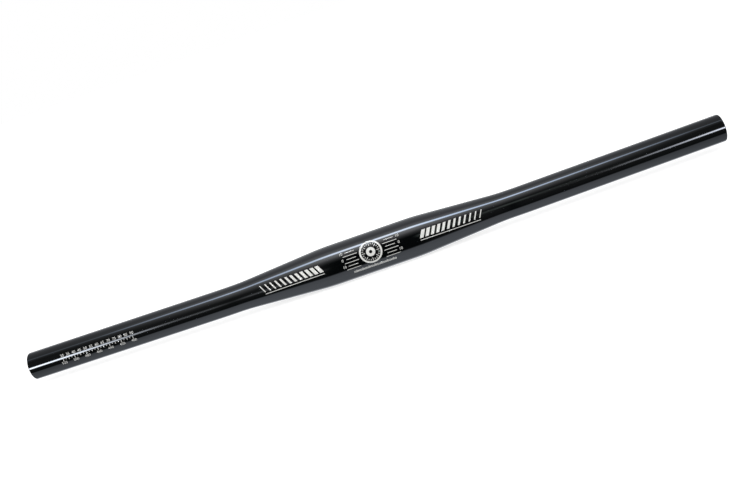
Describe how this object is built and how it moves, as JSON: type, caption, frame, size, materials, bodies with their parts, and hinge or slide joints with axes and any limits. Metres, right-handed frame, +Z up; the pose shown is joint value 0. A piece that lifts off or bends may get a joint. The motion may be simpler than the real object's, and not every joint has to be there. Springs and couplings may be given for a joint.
{
  "type": "flat handlebar",
  "caption": "Flat bicycle handlebar: a gloss black butted aluminium tube, thick at the stem clamp, tapering to slim grips that sweep back slightly.",
  "frame": {"origin": "on the tube's centre line at the middle of the stem clamp zone", "axes": "+X along the clamp axis towards the right end as seen from the front, +Y back towards the rider, the way both grips sweep, +Z up, so the sweep lies level in the XY plane"},
  "size_m": [0.581, 0.0356, 0.0318],
  "materials": {
    "gloss_black": "gloss"
  },
  "bodies": {
    "root": {"handlebar": "gloss_black"}
  },
  "joints": []
}
